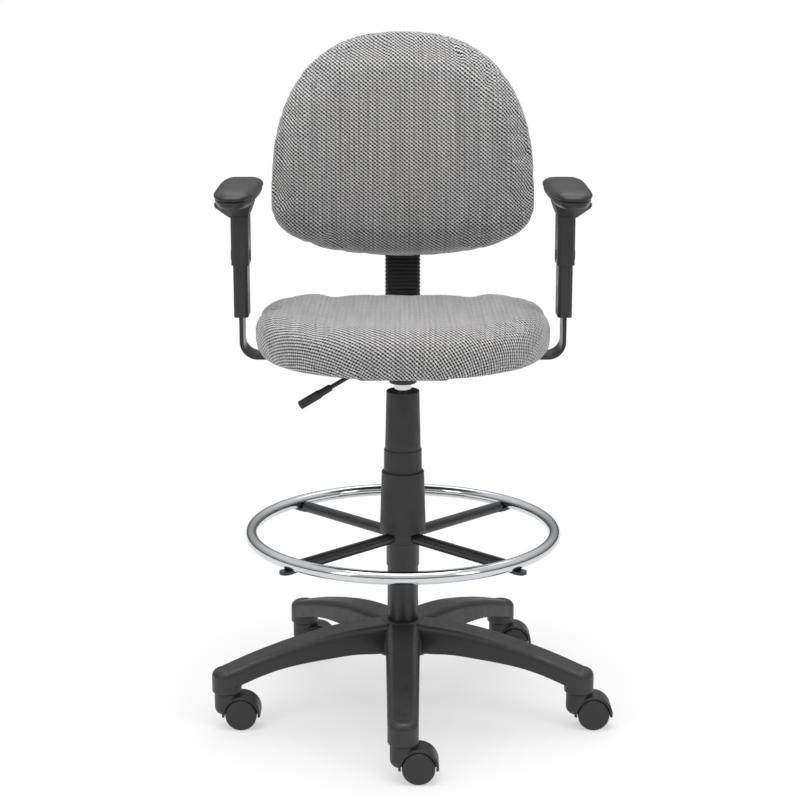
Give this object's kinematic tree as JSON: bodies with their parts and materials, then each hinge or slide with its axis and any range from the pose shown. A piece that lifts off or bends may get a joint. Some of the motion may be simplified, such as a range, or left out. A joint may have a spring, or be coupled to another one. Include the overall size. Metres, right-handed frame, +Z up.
{
  "type": "drafting chair",
  "caption": "Tall swivel task chair for a raised desk, with a foot ring, gas lift, casters, padded seat and back and height-adjustable arms.",
  "frame": {"origin": "on the floor, on the axis of the column", "axes": "+Z up; the sitter faces -Y; +X is the side of the left hand of the sitter"},
  "size_m": [0.6382, 0.6103, 1.0839],
  "materials": {
    "moulded_nylon": "satin moulded",
    "caster_nylon": "satin moulded",
    "caster_wheel": "satin moulded",
    "black_steel": "satin powder coat",
    "chrome": "polished",
    "bare_steel": "zinc plated",
    "slide_plastic": "acetal",
    "cover_plastic": "satin moulded",
    "plywood": "unfinished",
    "grey_weave": "woven tweed",
    "arm_pad_skin": "semi-gloss integral skin",
    "boot_rubber": "matt"
  },
  "bodies": {
    "base": {"base_star": "moulded_nylon", "caster_stems": "bare_steel", "column_tube": "black_steel", "guide_bush": "slide_plastic"},
    "gas_piston": {"piston_rod": "bare_steel", "thrust_bearing": "bare_steel", "rod_clip": "bare_steel"},
    "seat": {"gas_cylinder": "chrome", "mechanism_housing": "black_steel", "mechanism_socket": "black_steel", "bar_guide": "slide_plastic", "seat_bolts": "bare_steel", "seat_pan": "plywood", "seat_shell": "cover_plastic", "seat_cushion": "grey_weave", "arm_bar_left": "black_steel", "arm_bar_right": "black_steel", "arm_post_left": "moulded_nylon", "arm_post_right": "moulded_nylon"},
    "lever": {"lever_rod": "black_steel", "lever_handle": "moulded_nylon"},
    "valve": {"valve_pin": "bare_steel"},
    "upper_cover": {"cover_top": "cover_plastic"},
    "middle_cover": {"cover_middle": "cover_plastic"},
    "foot_rest": {"foot_ring": "chrome", "ring_hub": "black_steel", "ring_spokes": "black_steel", "ring_screws": "bare_steel", "cover_bottom": "cover_plastic"},
    "ring_lock": {"ring_collar": "black_steel"},
    "back_carrier": {"jbar": "black_steel", "bellows": "boot_rubber"},
    "depth_clamp": {"depth_knob": "moulded_nylon"},
    "backrest": {"back_bracket": "moulded_nylon", "back_board": "plywood", "back_shell": "cover_plastic", "back_cushion": "grey_weave", "back_screws": "bare_steel"},
    "height_clamp": {"height_knob": "moulded_nylon"},
    "arm_rest_left": {"arm_sleeve_left": "moulded_nylon", "arm_pad_left": "arm_pad_skin"},
    "arm_rest_right": {"arm_sleeve_right": "moulded_nylon", "arm_pad_right": "arm_pad_skin"},
    "arm_latch_left": {"arm_button_left": "cover_plastic"},
    "arm_latch_right": {"arm_button_right": "cover_plastic"},
    "caster_1": {"caster_hood_1": "caster_nylon"},
    "wheel_1a": {"caster_wheel_1a": "caster_wheel"},
    "wheel_1b": {"caster_wheel_1b": "caster_wheel"},
    "caster_2": {"caster_hood_2": "caster_nylon"},
    "wheel_2a": {"caster_wheel_2a": "caster_wheel"},
    "wheel_2b": {"caster_wheel_2b": "caster_wheel"},
    "caster_3": {"caster_hood_3": "caster_nylon"},
    "wheel_3a": {"caster_wheel_3a": "caster_wheel"},
    "wheel_3b": {"caster_wheel_3b": "caster_wheel"},
    "caster_4": {"caster_hood_4": "caster_nylon"},
    "wheel_4a": {"caster_wheel_4a": "caster_wheel"},
    "wheel_4b": {"caster_wheel_4b": "caster_wheel"},
    "caster_5": {"caster_hood_5": "caster_nylon"},
    "wheel_5a": {"caster_wheel_5a": "caster_wheel"},
    "wheel_5b": {"caster_wheel_5b": "caster_wheel"}
  },
  "joints": [
    {"name": "seat_swivel", "type": "hinge", "parent": "base", "child": "gas_piston", "pos_m": [0, 0, 0.1], "axis": [0, 0, 1], "continuous": true},
    {"name": "seat_lift", "type": "slide", "parent": "gas_piston", "child": "seat", "axis": [0, 0, 1], "range_m": [0, 0.127]},
    {"name": "lever_pull", "type": "hinge", "parent": "seat", "child": "lever", "pos_m": [-0.0615, -0.02, 0.571], "axis": [0, 1, 0], "range_deg": [0, 4], "stiffness_Nm_per_rad": 2, "springref_deg": -2.86},
    {"name": "valve_press", "type": "slide", "parent": "seat", "child": "valve", "axis": [0, 0, 1], "range_m": [-0.0045, 0]},
    {"name": "upper_cover_slide", "type": "slide", "parent": "base", "child": "upper_cover", "axis": [0, 0, 1], "range_m": [0, 0.127]},
    {"name": "middle_cover_slide", "type": "slide", "parent": "base", "child": "middle_cover", "axis": [0, 0, 1], "range_m": [0, 0.0424]},
    {"name": "ring_height", "type": "slide", "parent": "base", "child": "foot_rest", "axis": [0, 0, 1], "range_m": [-0.05, 0]},
    {"name": "ring_twist_lock", "type": "hinge", "parent": "foot_rest", "child": "ring_lock", "pos_m": [0, 0, 0.26], "axis": [0, 0, 1], "range_deg": [0, 60]},
    {"name": "back_depth", "type": "slide", "parent": "seat", "child": "back_carrier", "axis": [0, 1, 0], "range_m": [-0.02, 0.025]},
    {"name": "depth_knob_turn", "type": "hinge", "parent": "seat", "child": "depth_clamp", "pos_m": [0, 0.088, 0.55], "axis": [0, 0, 1], "continuous": true},
    {"name": "back_height", "type": "slide", "parent": "back_carrier", "child": "backrest", "axis": [0, 0, 1], "range_m": [-0.02, 0.06], "deforming": ["bellows"]},
    {"name": "height_knob_turn", "type": "hinge", "parent": "backrest", "child": "height_clamp", "pos_m": [0, 0.28, 0.8], "axis": [0, 1, 0], "continuous": true},
    {"name": "arm_height_left", "type": "slide", "parent": "seat", "child": "arm_rest_left", "axis": [0, 0, 1], "range_m": [-0.035, 0.02]},
    {"name": "arm_button_press_left", "type": "slide", "parent": "arm_rest_left", "child": "arm_latch_left", "axis": [-1, 0, 0], "range_m": [0, 0.0018], "stiffness_N_per_m": 300, "springref_m": -0.002},
    {"name": "arm_height_right", "type": "slide", "parent": "seat", "child": "arm_rest_right", "axis": [0, 0, 1], "range_m": [-0.035, 0.02]},
    {"name": "arm_button_press_right", "type": "slide", "parent": "arm_rest_right", "child": "arm_latch_right", "axis": [1, 0, 0], "range_m": [0, 0.0018], "stiffness_N_per_m": 300, "springref_m": -0.002},
    {"name": "caster_swivel_1", "type": "hinge", "parent": "base", "child": "caster_1", "pos_m": [0, -0.295, 0.06], "axis": [0, 0, 1], "continuous": true},
    {"name": "wheel_roll_1a", "type": "hinge", "parent": "caster_1", "child": "wheel_1a", "pos_m": [0.023, -0.308, 0.025], "axis": [0, 1, 0], "continuous": true},
    {"name": "wheel_roll_1b", "type": "hinge", "parent": "caster_1", "child": "wheel_1b", "pos_m": [0.023, -0.282, 0.025], "axis": [0, 1, 0], "continuous": true},
    {"name": "caster_swivel_2", "type": "hinge", "parent": "base", "child": "caster_2", "pos_m": [0.28056, -0.09116, 0.06], "axis": [0, 0, 1], "continuous": true},
    {"name": "wheel_roll_2a", "type": "hinge", "parent": "caster_2", "child": "wheel_2a", "pos_m": [0.30356, -0.10416, 0.025], "axis": [0, 1, 0], "continuous": true},
    {"name": "wheel_roll_2b", "type": "hinge", "parent": "caster_2", "child": "wheel_2b", "pos_m": [0.30356, -0.07816, 0.025], "axis": [0, 1, 0], "continuous": true},
    {"name": "caster_swivel_3", "type": "hinge", "parent": "base", "child": "caster_3", "pos_m": [0.1734, 0.23866, 0.06], "axis": [0, 0, 1], "continuous": true},
    {"name": "wheel_roll_3a", "type": "hinge", "parent": "caster_3", "child": "wheel_3a", "pos_m": [0.1964, 0.22566, 0.025], "axis": [0, 1, 0], "continuous": true},
    {"name": "wheel_roll_3b", "type": "hinge", "parent": "caster_3", "child": "wheel_3b", "pos_m": [0.1964, 0.25166, 0.025], "axis": [0, 1, 0], "continuous": true},
    {"name": "caster_swivel_4", "type": "hinge", "parent": "base", "child": "caster_4", "pos_m": [-0.1734, 0.23866, 0.06], "axis": [0, 0, 1], "continuous": true},
    {"name": "wheel_roll_4a", "type": "hinge", "parent": "caster_4", "child": "wheel_4a", "pos_m": [-0.1504, 0.22566, 0.025], "axis": [0, 1, 0], "continuous": true},
    {"name": "wheel_roll_4b", "type": "hinge", "parent": "caster_4", "child": "wheel_4b", "pos_m": [-0.1504, 0.25166, 0.025], "axis": [0, 1, 0], "continuous": true},
    {"name": "caster_swivel_5", "type": "hinge", "parent": "base", "child": "caster_5", "pos_m": [-0.28056, -0.09116, 0.06], "axis": [0, 0, 1], "continuous": true},
    {"name": "wheel_roll_5a", "type": "hinge", "parent": "caster_5", "child": "wheel_5a", "pos_m": [-0.25756, -0.10416, 0.025], "axis": [0, 1, 0], "continuous": true},
    {"name": "wheel_roll_5b", "type": "hinge", "parent": "caster_5", "child": "wheel_5b", "pos_m": [-0.25756, -0.07816, 0.025], "axis": [0, 1, 0], "continuous": true}
  ],
  "couplings": [
    {"joint": "valve_press", "follows": "lever_pull", "m_per_rad": -0.0615},
    {"joint": "upper_cover_slide", "follows": "seat_lift", "ratio": 1},
    {"joint": "middle_cover_slide", "follows": "seat_lift", "ratio": 0.33333}
  ]
}
